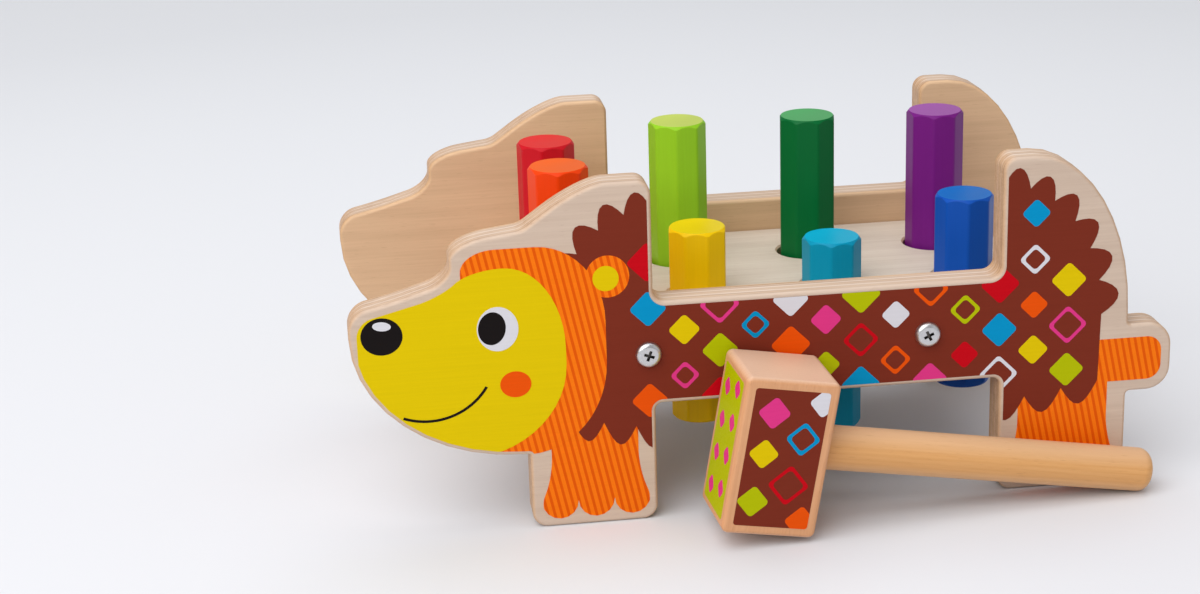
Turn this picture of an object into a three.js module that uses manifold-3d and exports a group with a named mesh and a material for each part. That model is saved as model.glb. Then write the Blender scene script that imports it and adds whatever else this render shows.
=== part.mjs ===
// Wooden pounding toy: two plywood panels cut as a small animal carry a board with eight pegs,
// and a mallet lies on the floor in front. The board sits at half height, so the toy also works upside down.
// Millimetres. +X runs from the nose to the tail, +Y from the near panel to the far one, +Z up.

import * as THREE from 'three';
import { mergeVertices } from 'three/addons/utils/BufferGeometryUtils.js';
import Module from 'manifold-3d';

// Peg board, with its middle at X = 0 and Y = 0
const columnPitch = 46; // between peg columns
const rowPitch = 40; // between the two rows of pegs
const pegColumns = 4;
const pegRows = 2;
const boardThickness = 12;
const boardEndMargin = 23; // from the last peg column to the end of the board
const boardSideMargin = 28; // from a peg row to the side of the board
const boardEdgeEase = 1;
const boardCornerRound = 2.5;

// Pegs: eight-sided, with turned ends, each free to slide through its hole
const pegFlats = 18.8;
const pegSides = 8;
const pegLength = 67;
const pegEndInset = 0.3; // how far the end disc lies inside the flats
const pegEndSlope = 52; // degrees, between the turned end and the end disc
const pegHolePlay = 0.6; // from a peg's corners to the wall of its hole

// Grip rings: rubber, one in a groove at half depth in each hole
const gripHeight = 4;
const gripDepth = 2; // depth of the groove in the wall of the hole
const gripLipRound = 1;

// Panels
const panelThickness = 12;
const panelHeight = 115;
const panelEdgeRound = 1.2;
const webDepth = 34.6; // height of the bar between the upper and the lower slot
const slotFrontX = -44;
const slotRearX = 70.8;
const slotRound = 4;
const slotMouthRound = 4.5;
const archRound = 2.5;

// Head end of the outline, measured forward from the slot and down from the crest
const crestLength = 21.5;
const crestRoundDown = 15;
const crestRoundAlong = 7;
const shoulderRun = 19.8;
const shoulderDrop = 14;
const shoulderRound = 2;
const browRun = 23;
const browFall = 3.2;
const browRoundAlong = 16;
const browRoundDown = 5.8;
const browStep = 12.7;
const snoutRound = 3.2;
const snoutRun = 32.7;
const snoutFall = 9.1;
const noseRound = 6;
const chinHeight = 25.8;
const chinRoundAlong = 55;
const chinRoundUp = 44;
const throatRound = 0.8;
const forelegWidth = 41.2;

// Tail end of the outline, measured back from the slot
const rumpLength = 43.5;
const rumpRoundAlong = 33;
const rumpRoundDown = 55;
const hindlegWidth = 43.7;
const tailTop = 55.5; // above the floor
const tailDepth = 23.5;
const tailLength = 15;
const tailRound = 8;
const tailRootRound = 1.5;
const toeRound = 5;

// Screws: two through each panel into the edge of the board, midway between peg columns
const screwShankRadius = 1.9;
const screwLength = 32;
const screwPoint = 5;
const screwHeadRadius = 4.2;
const screwHeadHeight = 2.4;
const screwRimHeight = 0.7; // straight rim of the head, under its rounded crown
const screwCrownFlat = 2.3; // radius of the flat on top of the crown
const screwSlotLength = 4.8;
const screwSlotWidth = 1;
const screwSlotDepth = 1.4;
const screwSlotTurn = 20; // degrees

// Mallet, with the handle along its own X and the head's middle at its own origin
const malletHeadLength = 31;
const malletHeadDepth = 29;
const malletHeadHeight = 52.6;
const malletEdgeRound = 1.5;
const malletCornerRound = 2.2; // at the corners of the head, seen along Y
const handleRadius = 7.3;
const handleReach = 132; // from the head's middle to the far end of the handle
const handleEndRound = 4;
const handleSocketDepth = 22;
const malletX = -9.5;
const malletGap = 0.5; // from the near panel
const malletYaw = 3.5; // degrees

// Facets round a turned form
const pegSidesTurned = 32;
const holeSides = 24;
const screwSides = 16;
const handleSides = 32;

// Facets across a rounded edge
const panelEdgeSteps = 2;
const boardEdgeSteps = 1;
const malletEdgeSteps = 3;
const handleEndSteps = 4;
const screwCrownSteps = 2;
const outlineSteps = 1.6; // in a rounding of an outline, per square root of its length

// How outlines and corners are closed
const sideShare = 0.98; // of a side of an outline, for the roundings at its two ends
const weldDistance = 1e-4; // corners closer than this are one corner

// Clearances
const seatGap = 0.2; // between faces that rest on each other
const ringGap = 0.3; // round a grip ring, on every side
const screwGap = 0.3; // round a screw's shank
const socketGap = 0.3; // round the handle in the mallet's head
const cutReach = 1; // how far a cutter runs past the face that it opens

// Colours and finishes
const panelFinish = { color: 0xebd7be, roughness: 0.55 };
const boardFinish = { color: 0xe6d3b8, roughness: 0.55 };
const paintRoughness = 0.35;
const rubberFinish = { color: 0x1c1c1c, roughness: 0.8 };
const screwFinish = { color: 0xc8c8cc, roughness: 0.3, metalness: 1 };
const malletHeadFinish = { color: 0xe1aa7d, roughness: 0.5 };
const malletHandleFinish = { color: 0xd7a55f, roughness: 0.5 };

// Where each peg stands: column from the nose, row from the near panel, how far its middle is above the
// board's middle, and how far it is turned in its round hole, in degrees
const pegs = [
  { colour: 'red', paint: 0xcd1428, column: 0, row: 1, lift: 17.8, turn: 9 },
  { colour: 'light_green', paint: 0x87c82d, column: 1, row: 1, lift: 22.4, turn: 12 },
  { colour: 'dark_green', paint: 0x00642f, column: 2, row: 1, lift: 21.7, turn: 34 },
  { colour: 'purple', paint: 0x6e1e78, column: 3, row: 1, lift: 20.9, turn: 6 },
  { colour: 'orange', paint: 0xff5a14, column: 0, row: 0, lift: 19.85, turn: 16 },
  { colour: 'yellow', paint: 0xe1be00, column: 1, row: 0, lift: -4, turn: 34 },
  { colour: 'sky_blue', paint: 0x0096be, column: 2, row: 0, lift: -10.6, turn: 10 },
  { colour: 'blue', paint: 0x195fbe, column: 3, row: 0, lift: 1.5, turn: 16 },
];

// Sizes that follow from those above
const boardLength = (pegColumns - 1) * columnPitch + 2 * boardEndMargin;
const boardWidth = (pegRows - 1) * rowPitch + 2 * boardSideMargin;
const boardMiddle = panelHeight / 2;
const pegCornerRadius = pegFlats / 2 / Math.cos(Math.PI / pegSides);
const holeRadius = pegCornerRadius + pegHolePlay;
const grooveRadius = holeRadius + gripDepth;
const grooveHeight = gripHeight + 2 * ringGap;
const panelInnerY = boardWidth / 2 + seatGap;
const panelOuterY = panelInnerY + panelThickness;
const hindX = slotRearX + hindlegWidth; // back of the hind legs

const wasm = await Module();
wasm.setup();

// A closed three.js geometry as a solid that can be joined and cut
function solid(geometry) {
  const bare = geometry.clone();
  bare.deleteAttribute('normal');
  bare.deleteAttribute('uv');
  const merged = mergeVertices(bare, weldDistance);
  const corners = merged.index.array;
  const triVerts = [];
  for (let i = 0; i < corners.length; i += 3) {
    const [a, b, c] = corners.slice(i, i + 3);
    if (a !== b && b !== c && c !== a) triVerts.push(a, b, c);
  }
  return new wasm.Manifold(new wasm.Mesh({
    numProp: 3,
    vertProperties: Float32Array.from(merged.attributes.position.array),
    triVerts: Uint32Array.from(triVerts),
  }));
}

// A named mesh of a solid, with its own flat-shaded material
function piece(name, body, finish) {
  const { vertProperties, triVerts } = body.getMesh();
  const geometry = new THREE.BufferGeometry();
  geometry.setAttribute('position', new THREE.BufferAttribute(vertProperties, 3));
  geometry.setIndex(new THREE.BufferAttribute(triVerts, 1));
  geometry.computeVertexNormals();
  const material = new THREE.MeshStandardMaterial({ ...finish, flatShading: true });
  const mesh = new THREE.Mesh(geometry, material);
  mesh.name = name;
  return mesh;
}

// An outline through corners [x, y, before, after]. Each corner is rounded by a quarter ellipse that leaves
// the incoming side `before` ahead of the corner and meets the outgoing side `after` past it.
// Two roundings that would meet on a short side share its length.
function roundedShape(corners) {
  const at = corners.map(([x, y]) => new THREE.Vector2(x, y));
  const before = corners.map((corner) => corner[2]);
  const after = corners.map((corner) => corner[3] ?? corner[2]);
  const count = corners.length;
  const share = at.map((point, i) => {
    const next = (i + 1) % count;
    return Math.min(1, sideShare * point.distanceTo(at[next]) / (after[i] + before[next]));
  });
  const points = [];
  at.forEach((point, i) => {
    const last = (i + count - 1) % count;
    const back = at[last].clone().sub(point).setLength(before[i] * share[last]);
    const ahead = at[(i + 1) % count].clone().sub(point).setLength(after[i] * share[i]);
    const steps = Math.ceil(outlineSteps * Math.sqrt(back.length() + ahead.length()));
    for (let step = 0; step <= steps; step += 1) {
      const angle = (Math.PI / 2) * (step / steps);
      const p = point.clone().addScaledVector(back, 1 - Math.sin(angle));
      points.push(p.addScaledVector(ahead, 1 - Math.cos(angle)));
    }
  });
  return new THREE.Shape(points);
}

// A flat piece cut to a shape in XY, with rounded-over edges, centred on Z = 0
function plate(shape, thickness, edgeRound, steps) {
  const geometry = new THREE.ExtrudeGeometry(shape, {
    depth: thickness - 2 * edgeRound,
    bevelThickness: edgeRound,
    bevelSize: edgeRound,
    bevelOffset: -edgeRound,
    bevelSegments: steps,
  });
  return geometry.translate(0, 0, edgeRound - thickness / 2);
}

function rectangle(length, width, round) {
  return roundedShape([
    [-length / 2, -width / 2, round],
    [length / 2, -width / 2, round],
    [length / 2, width / 2, round],
    [-length / 2, width / 2, round],
  ]);
}

// A turned piece round Z, from a profile of [radius, height] that runs upwards outside
function turned(profile, sides) {
  const points = profile.map(([radius, height]) => new THREE.Vector2(radius, height));
  return new THREE.LatheGeometry(points, sides).rotateX(Math.PI / 2);
}

// Outline of a panel: X along the toy, Y up from the floor
function panelShape() {
  const slotFloor = boardMiddle + webDepth / 2;
  const archTop = boardMiddle - webDepth / 2;
  const crestX = slotFrontX - crestLength;
  const shoulderX = crestX - shoulderRun;
  const browX = shoulderX - browRun;
  const noseX = browX - snoutRun;
  const shoulderY = panelHeight - shoulderDrop;
  const browY = shoulderY - browFall;
  const snoutY = browY - browStep;
  const noseY = snoutY - snoutFall;
  const throatX = slotFrontX - forelegWidth;
  const rumpX = slotRearX + rumpLength;
  const tailX = hindX + tailLength;
  return roundedShape([
    [throatX, 0, toeRound],
    [slotFrontX, 0, toeRound],
    [slotFrontX, archTop, archRound],
    [slotRearX, archTop, archRound],
    [slotRearX, 0, toeRound],
    [hindX, 0, toeRound],
    [hindX, tailTop - tailDepth, tailRootRound],
    [tailX, tailTop - tailDepth, tailRound],
    [tailX, tailTop, tailRound],
    [rumpX, tailTop, tailRootRound],
    [rumpX, panelHeight, rumpRoundDown, rumpRoundAlong],
    [slotRearX, panelHeight, slotMouthRound],
    [slotRearX, slotFloor, slotRound],
    [slotFrontX, slotFloor, slotRound],
    [slotFrontX, panelHeight, slotMouthRound],
    [crestX, panelHeight, crestRoundAlong, crestRoundDown],
    [shoulderX, shoulderY, shoulderRound],
    [browX, browY, browRoundAlong, browRoundDown],
    [browX, snoutY, snoutRound],
    [noseX, noseY, noseRound],
    [noseX, chinHeight, chinRoundUp, chinRoundAlong],
    [throatX, chinHeight, throatRound],
  ]);
}

// X of the screws, midway between the outer and the inner peg columns at each end of the board
const screwX = (pegColumns / 2 - 1) * columnPitch;
const screwXs = [-screwX, screwX];

// A panel with its screw holes, standing across Y = 0
function panelBody() {
  let body = solid(plate(panelShape(), panelThickness, panelEdgeRound, panelEdgeSteps).rotateX(Math.PI / 2));
  const hole = new THREE.CylinderGeometry(
    screwShankRadius + screwGap, screwShankRadius + screwGap, panelThickness + 2 * cutReach, screwSides);
  for (const x of screwXs) {
    body = body.subtract(solid(hole.clone().translate(x, 0, boardMiddle)));
  }
  return body;
}

function pegPlace({ column, row }) {
  const x = (column - (pegColumns - 1) / 2) * columnPitch;
  const y = (row - (pegRows - 1) / 2) * rowPitch;
  return new THREE.Vector3(x, y, boardMiddle);
}

// The board, with a grooved hole for every peg and a hole in its edge for every screw
function boardBody() {
  const outline = rectangle(boardLength, boardWidth, boardCornerRound);
  let body = solid(plate(outline, boardThickness, boardEdgeEase, boardEdgeSteps));
  const mouth = boardThickness / 2 + cutReach;
  const pegHole = turned([
    [0, -mouth],
    [holeRadius, -mouth],
    [holeRadius, -grooveHeight / 2],
    [grooveRadius, -grooveHeight / 2],
    [grooveRadius, grooveHeight / 2],
    [holeRadius, grooveHeight / 2],
    [holeRadius, mouth],
    [0, mouth],
  ], holeSides);
  for (const peg of pegs) {
    const place = pegPlace(peg);
    body = body.subtract(solid(pegHole.clone().translate(place.x, place.y, 0)));
  }
  const inBoard = screwLength - panelThickness + cutReach;
  const screwHole = new THREE.CylinderGeometry(
    screwShankRadius + screwGap, screwShankRadius + screwGap, inBoard + cutReach, screwSides);
  for (const x of screwXs) {
    for (const side of [-1, 1]) {
      const y = side * (boardWidth / 2 + cutReach - (inBoard + cutReach) / 2);
      body = body.subtract(solid(screwHole.clone().translate(x, y, 0)));
    }
  }
  return body;
}

// An eight-sided bar whose ends are turned to cones, which leaves an arched edge at the top of each flat
function pegBody() {
  const corners = Array.from({ length: pegSides }, (_, i) => {
    const angle = (2 * Math.PI * (i + 0.5)) / pegSides;
    return new THREE.Vector2(pegCornerRadius * Math.cos(angle), pegCornerRadius * Math.sin(angle));
  });
  const bar = new THREE.ExtrudeGeometry(new THREE.Shape(corners), { depth: pegLength, bevelEnabled: false });
  const endRadius = pegFlats / 2 - pegEndInset;
  const wideRadius = pegCornerRadius + cutReach;
  const coneHeight = (wideRadius - endRadius) * Math.tan(THREE.MathUtils.degToRad(pegEndSlope));
  const envelope = turned([
    [0, -pegLength / 2],
    [endRadius, -pegLength / 2],
    [wideRadius, coneHeight - pegLength / 2],
    [wideRadius, pegLength / 2 - coneHeight],
    [endRadius, pegLength / 2],
    [0, pegLength / 2],
  ], pegSidesTurned);
  return solid(bar.translate(0, 0, -pegLength / 2)).intersect(solid(envelope));
}

// A rubber ring with an eased inner lip, which reaches past the wall of the hole to the peg's corners
function gripRingBody() {
  const inner = pegCornerRadius + ringGap;
  const outer = grooveRadius - ringGap;
  const half = gripHeight / 2;
  return solid(turned([
    [inner, gripLipRound - half],
    [inner + gripLipRound, -half],
    [outer, -half],
    [outer, half],
    [inner + gripLipRound, half],
    [inner, half - gripLipRound],
    [inner, gripLipRound - half],
  ], holeSides));
}

// A pan-head wood screw with a crossed recess, its head towards -Z and its point towards +Z
function screwBody() {
  const crown = screwHeadHeight + seatGap;
  const crownRound = Array.from({ length: screwCrownSteps + 1 }, (_, i) => {
    const angle = (Math.PI / 2) * (i / screwCrownSteps);
    const radius = screwCrownFlat + (screwHeadRadius - screwCrownFlat) * Math.sin(angle);
    return [radius, -crown + (screwHeadHeight - screwRimHeight) * (1 - Math.cos(angle))];
  });
  const body = solid(turned([
    [0, -crown],
    ...crownRound,
    [screwHeadRadius, -seatGap],
    [screwShankRadius, -seatGap],
    [screwShankRadius, screwLength - screwPoint],
    [0, screwLength],
  ], screwSides));
  const arm = new THREE.BoxGeometry(screwSlotLength, screwSlotWidth, 2 * screwSlotDepth);
  const turn = THREE.MathUtils.degToRad(screwSlotTurn);
  const armOne = solid(arm.clone().rotateZ(turn).translate(0, 0, -crown));
  const armTwo = solid(arm.clone().rotateZ(turn + Math.PI / 2).translate(0, 0, -crown));
  return body.subtract(armOne).subtract(armTwo);
}

// A dowel along X, with a rounded edge at its far end
function handleBar(radius, from, to, endRound) {
  const end = Array.from({ length: handleEndSteps + 1 }, (_, i) => {
    const angle = (Math.PI / 2) * (i / handleEndSteps);
    return [radius - endRound * (1 - Math.cos(angle)), to - endRound * (1 - Math.sin(angle))];
  });
  return turned([[0, from], [radius, from], ...end, [0, to]], handleSides).rotateY(Math.PI / 2);
}

// A block with rounded edges and a blind socket for the handle in its +X side
function malletHeadBody() {
  const side = rectangle(malletHeadLength, malletHeadHeight, malletCornerRound);
  const block = solid(plate(side, malletHeadDepth, malletEdgeRound, malletEdgeSteps).rotateX(Math.PI / 2));
  const floor = malletHeadLength / 2 - handleSocketDepth;
  const socket = handleBar(handleRadius + socketGap, floor, malletHeadLength / 2 + cutReach, 0);
  return block.subtract(solid(socket));
}

function handleBody() {
  const root = malletHeadLength / 2 - handleSocketDepth + seatGap;
  return solid(handleBar(handleRadius, root, handleReach, handleEndRound));
}

// The mallet lies with the lower edge of its head and the far end of its handle on the floor. Its head, and its
// handle as far back as the hind leg, stay clear of the near panel.
function mallet() {
  const group = new THREE.Group();
  group.add(piece('mallet_head', malletHeadBody(), malletHeadFinish));
  group.add(piece('mallet_handle', handleBody(), malletHandleFinish));
  const drop = malletHeadHeight / 2 - malletCornerRound - (handleRadius - handleEndRound);
  const run = handleReach - handleEndRound - (malletHeadLength / 2 - malletCornerRound);
  const yaw = THREE.MathUtils.degToRad(malletYaw);
  group.rotation.set(0, Math.atan2(drop, run), yaw, 'ZYX');
  const headReach = (malletHeadDepth * Math.cos(yaw) + malletHeadLength * Math.sin(yaw)) / 2;
  const handleAlong = Math.min(handleReach, hindX - malletX);
  const handleEdge = handleAlong * Math.tan(yaw) + handleRadius / Math.cos(yaw);
  group.position.set(malletX, -(panelOuterY + malletGap + Math.max(headReach, handleEdge)), 0);
  group.updateMatrixWorld(true);
  group.position.z = -new THREE.Box3().setFromObject(group, true).min.z;
  return group;
}

const toy = new THREE.Group();

for (const [name, side] of [['front_panel', -1], ['rear_panel', 1]]) {
  const panel = piece(name, panelBody(), panelFinish);
  panel.position.y = side * (panelInnerY + panelThickness / 2);
  toy.add(panel);
}

const board = piece('peg_board', boardBody(), boardFinish);
board.position.z = boardMiddle;
toy.add(board);

for (const peg of pegs) {
  const place = pegPlace(peg);
  const bar = piece(`${peg.colour}_peg`, pegBody(), { color: peg.paint, roughness: paintRoughness });
  bar.position.copy(place);
  bar.position.z += peg.lift;
  bar.rotation.z = THREE.MathUtils.degToRad(peg.turn);
  toy.add(bar);
  const ring = piece(`${peg.colour}_grip_ring`, gripRingBody(), rubberFinish);
  ring.position.copy(place);
  toy.add(ring);
}

// Each screw is turned from Z to point inwards through its panel
for (const [panel, side] of [['front', -1], ['rear', 1]]) {
  screwXs.forEach((x, i) => {
    const screw = piece(`${panel}_screw_${i + 1}`, screwBody(), screwFinish);
    screw.rotation.x = side * (Math.PI / 2);
    screw.position.set(x, side * panelOuterY, boardMiddle);
    toy.add(screw);
  });
}

toy.add(mallet());

// The origin is on the floor, under the middle of the whole set
toy.updateMatrixWorld(true);
const box = new THREE.Box3().setFromObject(toy, true);
const middle = box.getCenter(new THREE.Vector3());
toy.position.set(-middle.x, -middle.y, -box.min.z);

export default toy;
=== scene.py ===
# %% [markdown]
# # A wooden pounding toy, dressed in Blender
# Two plywood panels cut as a small animal hold a board with eight painted pegs, and a mallet lies in
# front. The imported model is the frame. It fixes every size and place, so each piece below is built where
# its solid is, in metres, with sizes written in millimetres times `mm`.

# %% Load the frame
import math

import bpy
from mathutils import Euler, Matrix, Vector


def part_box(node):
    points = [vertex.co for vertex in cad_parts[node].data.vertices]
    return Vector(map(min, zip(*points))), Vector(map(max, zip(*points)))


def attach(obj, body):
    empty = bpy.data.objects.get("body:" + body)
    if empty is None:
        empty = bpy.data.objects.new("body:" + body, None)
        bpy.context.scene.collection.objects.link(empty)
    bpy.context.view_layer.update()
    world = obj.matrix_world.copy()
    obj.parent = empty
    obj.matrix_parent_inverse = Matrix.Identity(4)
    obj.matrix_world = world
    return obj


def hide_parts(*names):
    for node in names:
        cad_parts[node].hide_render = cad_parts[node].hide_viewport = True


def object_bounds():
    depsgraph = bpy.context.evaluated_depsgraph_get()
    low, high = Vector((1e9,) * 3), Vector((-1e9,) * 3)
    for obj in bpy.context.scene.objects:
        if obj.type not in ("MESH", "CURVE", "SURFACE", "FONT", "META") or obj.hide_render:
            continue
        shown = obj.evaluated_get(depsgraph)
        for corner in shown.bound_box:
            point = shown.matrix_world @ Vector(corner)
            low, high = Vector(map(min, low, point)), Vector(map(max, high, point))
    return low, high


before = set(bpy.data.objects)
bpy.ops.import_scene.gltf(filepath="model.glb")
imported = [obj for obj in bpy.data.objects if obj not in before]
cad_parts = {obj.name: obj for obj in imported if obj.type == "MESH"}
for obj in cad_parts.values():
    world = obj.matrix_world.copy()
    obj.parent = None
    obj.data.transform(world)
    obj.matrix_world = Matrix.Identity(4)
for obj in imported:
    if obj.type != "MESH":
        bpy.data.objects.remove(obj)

mm = 0.001
cad_box = [list(corner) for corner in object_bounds()]
cad_size = [round((high - low) / mm, 1) for low, high in zip(*cad_box)]
print("CAD box in mm:", cad_size)

# %% [markdown]
# ## Working by hand
# An operator acts on whatever is selected, and the frame arrives with everything selected. So every step
# starts by picking one piece. A settled piece keeps its place in its mesh and its object at the origin,
# as the frame's own nodes do.

# %% Helpers for picking, cutting and placing
round_sides = 72
along_x, across_y = (0, math.pi / 2, 0), (math.pi / 2, 0, 0)
way_share = 0.99
flat_share = 0.9
weld_reach = 0.002
flat_degrees = 1
flat_weight = 80


def deselect():
    """Leave nothing selected."""
    bpy.ops.object.select_all(action="DESELECT")


def set_mode(mode):
    """Go to edit or object mode."""
    bpy.ops.object.mode_set(mode=mode)


def pick(piece):
    """Select one piece only and make it active."""
    deselect()
    piece.select_set(True)
    bpy.context.view_layer.objects.active = piece
    return piece


def named(name):
    """Name the piece that an operator has just added."""
    piece = bpy.context.active_object
    piece.name = name
    piece.data.name = name
    return piece


def apply_modifier(piece, kind, **settings):
    """Add one modifier with its settings and apply it."""
    pick(piece)
    modifier = piece.modifiers.new(kind, kind)
    for setting, value in settings.items():
        setattr(modifier, setting, value)
    bpy.ops.object.modifier_apply(modifier=modifier.name)
    return piece


def combine(piece, tool, operation):
    """Cut, join or trim a piece with another solid, which is used up."""
    careful = operation == "INTERSECT"
    apply_modifier(piece, "BOOLEAN", operation=operation, object=tool, solver="EXACT", use_self=careful)
    bpy.data.objects.remove(tool)
    return piece


def add_cylinder(name, sides, radius, depth):
    """A cylinder round Z, to be worked further."""
    deselect()
    bpy.ops.mesh.primitive_cylinder_add(vertices=sides, radius=radius, depth=depth)
    return named(name)


def add_block(name, size):
    """A block of some size, to be worked further."""
    deselect()
    bpy.ops.mesh.primitive_cube_add(size=1)
    block = named(name)
    block.scale = size
    return settle(block)


def drill(piece, radius, depth, place, turn=(0, 0, 0)):
    """Cut a round hole, some depth long and centred on a place."""
    bit = settle(add_cylinder("drill", round_sides, radius, depth), place, turn)
    return combine(piece, bit, "DIFFERENCE")


def copy_of(piece, name):
    """A copy with its own mesh."""
    pick(piece)
    bpy.ops.object.duplicate(linked=False)
    return named(name)


def settle(piece, place=(0, 0, 0), turn=(0, 0, 0)):
    """Turn and move a piece, and keep its place in its mesh."""
    piece.rotation_euler = turn
    piece.location = place
    pick(piece)
    bpy.ops.object.transform_apply(location=True, rotation=True, scale=True)
    return piece


def select_where(piece, mode, test):
    """In edit mode, select only the faces or edges that pass a test."""
    set_mode("EDIT")
    bpy.ops.mesh.select_mode(type=mode)
    bpy.ops.mesh.select_all(action="DESELECT")
    set_mode("OBJECT")
    parts = piece.data.polygons if mode == "FACE" else piece.data.edges
    for part in parts:
        part.select = test(part)
    set_mode("EDIT")


def along(piece, axis):
    """A test for the edges of a piece that run along one axis."""
    def test(edge):
        first, last = (piece.data.vertices[corner].co for corner in edge.vertices)
        way = (last - first).normalized()
        return abs(way[axis]) > way_share
    return test


def past(piece, way, limit):
    """A test for the edges of a piece that lie past a limit along some way."""
    def test(edge):
        return all(way.dot(piece.data.vertices[corner].co) > limit for corner in edge.vertices)
    return test


def round_edges(piece, test, radius, steps):
    """Round the edges that pass a test, by some millimetres."""
    select_where(piece, "EDGE", test)
    bpy.ops.mesh.bevel(offset=radius * mm, segments=steps, affect="EDGES")
    set_mode("OBJECT")


def weld(piece):
    """Merge corners that lie on each other and faces that lie flat, and point every face outwards."""
    pick(piece)
    set_mode("EDIT")
    bpy.ops.mesh.select_all(action="SELECT")
    bpy.ops.mesh.remove_doubles(threshold=weld_reach * mm)
    bpy.ops.mesh.dissolve_limited(angle_limit=math.radians(flat_degrees))
    bpy.ops.mesh.normals_make_consistent(inside=False)
    set_mode("OBJECT")
    return piece


def smooth(piece, degrees=40):
    """Smooth the rounded edges, and let the flat faces keep their own direction."""
    pick(piece)
    bpy.ops.object.shade_smooth_by_angle(angle=math.radians(degrees))
    apply_modifier(piece, "WEIGHTED_NORMAL", keep_sharp=True, weight=flat_weight)
    return piece


def finish_piece(piece, material, body, slot, *nodes):
    """Give a piece its finish, its body and the nodes that it stands for."""
    if nodes:
        piece.name = nodes[0] + "_visual"
    piece.data.name = piece.name
    piece.data.materials.clear()
    piece.data.materials.append(material)
    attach(piece, body)
    if nodes:
        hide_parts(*nodes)
    return piece


print("helpers ready")

# %% [markdown]
# ## Camera and light
# The camera was fitted to the photograph: its height, its turn and its long lens come from lines that are
# straight on the toy. One large soft lamp on the left makes the left flats of the pegs the brighter ones.
# A second one above lights the tops, a weak one stands on the right, and the sky fills the shadows.

# %% Camera
front_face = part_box("front_panel")[0].y
camera_place = Vector((-137.9, -709.44, 315.5)) * mm + Vector((0, front_face, 0))
camera_turn = [math.radians(angle) for angle in (71.243, 1.259, -8.672)]
camera_lens = 71.12
camera_shift = (-0.0527, 0.0105)
camera_sensor = 36
camera_clip = 0.01

bpy.ops.object.camera_add(location=camera_place, rotation=camera_turn)
camera = named("camera")
camera.data.sensor_width = camera_sensor
camera.data.sensor_fit = "HORIZONTAL"
camera.data.lens = camera_lens
camera.data.shift_x, camera.data.shift_y = camera_shift
camera.data.clip_start = camera_clip
bpy.context.scene.camera = camera
bpy.context.scene.view_settings.view_transform = "Standard"
print("camera at", [round(value, 3) for value in camera.location])

# %% Lamps
# Each lamp has its place, its size and its power
lamps = {
    "key_lamp": (Vector((-0.85, -0.9, 1.3)), 1.8, 28),
    "fill_lamp": (Vector((0.95, -0.7, 0.6)), 0.9, 0.6),
    "top_lamp": (Vector((0.05, 0.35, 1.3)), 1.3, 8),
}

aim = Vector((0, 0, 0.05))
for lamp_name, (place, size, power) in lamps.items():
    turn = (aim - place).to_track_quat("-Z", "Y").to_euler()
    bpy.ops.object.light_add(type="AREA", location=place, rotation=turn)
    light = named(lamp_name)
    light.data.size = size
    light.data.energy = power
print("lamps:", list(lamps))

# %% [markdown]
# ## Tools for finishes
# A material is a small circuit of nodes, and `wire` adds one node with its inputs. Wood grain is used by
# nearly every finish, also under paint and ink, so it is built once as a node group: long streaks along
# its X, short darker flecks, slow clouds and a broad wavy figure.

# %% Node helpers
# A Mix node has sockets for every kind of value. These are the ones for colours
mix_first, mix_second, mix_result = 6, 7, 2
grain_depth = 0.05


def wire(tree, kind, inputs=None, **settings):
    """Add a node. An input is a plain value, or the output socket of another node."""
    made = tree.nodes.new(kind)
    for setting, value in settings.items():
        setattr(made, setting, value)
    for key, value in (inputs or {}).items():
        if isinstance(value, bpy.types.NodeSocket):
            tree.links.new(value, made.inputs[key])
        else:
            made.inputs[key].default_value = value
    return made


def calculate(tree, operation, *values):
    """A math node, as its output."""
    return wire(tree, "ShaderNodeMath", dict(enumerate(values)), operation=operation).outputs[0]


def stretch(tree, value, low, high, to_low=0.0, to_high=1.0):
    """Map a range of values onto another one, without going past its ends."""
    inputs = {"Value": value, "From Min": low, "From Max": high, "To Min": to_low, "To Max": to_high}
    return wire(tree, "ShaderNodeMapRange", inputs).outputs[0]


def blend_colours(tree, share, first, second):
    """A mix of two colours, as its output."""
    inputs = {"Factor": share, mix_first: first, mix_second: second}
    return wire(tree, "ShaderNodeMix", inputs, data_type="RGBA").outputs[mix_result]


def overlay(tree, tone, mask, share, top):
    """Lay a colour over a tone where a mask shows it, at some share of full cover."""
    return blend_colours(tree, calculate(tree, "MULTIPLY", mask, share), tone, top)


def colour(red, green, blue):
    """A colour as it looks on a screen, 0 to 255, as the linear colour that shaders take."""
    shares = [channel / 255 for channel in (red, green, blue)]
    linear = [((share + 0.055) / 1.055) ** 2.4 if share > 0.04 else share / 12.92 for share in shares]
    return (*linear, 1)


def tint(base, factor):
    """A lighter or darker tone of a linear colour."""
    return (*[min(1, channel * factor) for channel in base[:3]], 1)


def new_finish(name, gloss=0.3, metallic=0.0):
    """A material with its node tree and its shader. Gloss is how strongly it reflects."""
    material = bpy.data.materials.new(name)
    material.use_nodes = True
    tree = material.node_tree
    shader = tree.nodes["Principled BSDF"]
    shader.inputs["Specular IOR Level"].default_value = gloss
    shader.inputs["Metallic"].default_value = metallic
    return material, tree, shader


def own_axes(tree, place=(0, 0, 0), turn=(0, 0, 0)):
    """Object coordinates, seen from a piece's own middle and along its own axes."""
    coordinates = wire(tree, "ShaderNodeTexCoord").outputs["Object"]
    inputs = {"Vector": coordinates, "Location": place, "Rotation": turn}
    return wire(tree, "ShaderNodeMapping", inputs, vector_type="TEXTURE").outputs[0]


def faces(tree, axis, low, high):
    """How far a surface faces along one axis, from 0 at `low` to 1 at `high`."""
    normal = wire(tree, "ShaderNodeTexCoord").outputs["Normal"]
    along_axis = wire(tree, "ShaderNodeSeparateXYZ", {0: normal}).outputs[axis]
    return stretch(tree, calculate(tree, "ABSOLUTE", along_axis), low, high)


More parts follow.
